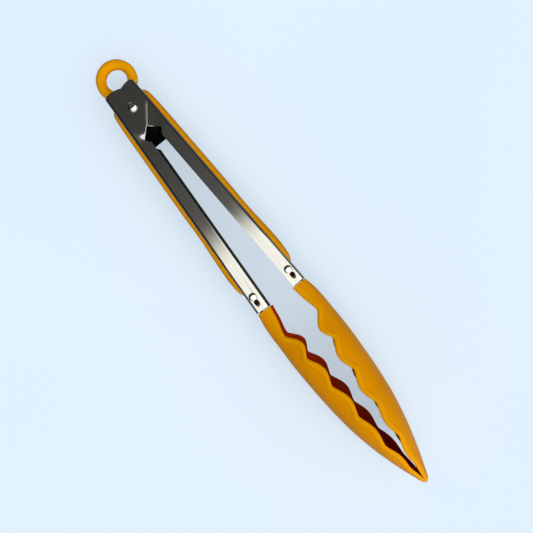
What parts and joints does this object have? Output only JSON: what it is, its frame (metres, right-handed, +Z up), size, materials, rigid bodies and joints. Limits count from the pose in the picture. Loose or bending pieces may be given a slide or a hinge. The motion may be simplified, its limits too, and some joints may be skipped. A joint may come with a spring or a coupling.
{
  "type": "spring loaded kitchen tongs",
  "caption": "Sprung kitchen tongs with folded steel channel arms, soft back grips, scalloped silicone spoon jaws and a ring-pull lock strip.",
  "frame": {"origin": "on the floor under the middle of the tongs' box, as they lie on their side", "axes": "+X from the hinge to the jaw tips, +Y towards arm B, +Z up along the hinge pin"},
  "size_m": [0.3004, 0.0396, 0.0424],
  "materials": {
    "brushed_steel": "satin, brushed lengthwise",
    "bright_steel": "bright, headed rivets",
    "spring_steel": "drawn wire",
    "grip_silicone": "satin",
    "jaw_silicone": "satin, slightly glossy",
    "ring_silicone": "satin",
    "orange_nylon": "matte",
    "black_nylon": "matte"
  },
  "bodies": {
    "hinge": {"pivot_pin": "bright_steel", "pivot_spacer": "brushed_steel", "spring_bush": "black_nylon", "spring_coil": "spring_steel"},
    "arm_a": {"arm_a_channel": "brushed_steel", "grip_a": "grip_silicone", "jaw_a_shell": "jaw_silicone", "jaw_a_core": "orange_nylon", "jaw_a_rivet": "bright_steel", "spring_leg_a": "spring_steel"},
    "arm_b": {"arm_b_channel": "brushed_steel", "grip_b": "grip_silicone", "jaw_b_shell": "jaw_silicone", "jaw_b_core": "orange_nylon", "jaw_b_rivet": "bright_steel", "spring_leg_b": "spring_steel"},
    "lock": {"lock_strip": "brushed_steel", "lock_head": "black_nylon", "lock_head_pin": "bright_steel", "pull_ring": "ring_silicone"}
  },
  "joints": [
    {"name": "arm_b_hinge", "type": "hinge", "parent": "hinge", "child": "arm_b", "pos_m": [-0.11658, 0, 0.0212], "axis": [0, 0, 1], "range_deg": [0, 12], "stiffness_Nm_per_rad": 0.4, "springref_deg": 17.19},
    {"name": "arm_a_hinge", "type": "hinge", "parent": "hinge", "child": "arm_a", "pos_m": [-0.11658, 0, 0.0212], "axis": [0, 0, 1], "range_deg": [-12, 0], "stiffness_Nm_per_rad": 0.4, "springref_deg": -17.19},
    {"name": "lock_slide", "type": "slide", "parent": "hinge", "child": "lock", "axis": [-0.9971, 0.0767, 0], "range_m": [0, 0.008]}
  ],
  "couplings": [
    {"joint": "arm_a_hinge", "follows": "arm_b_hinge", "ratio": -1}
  ]
}
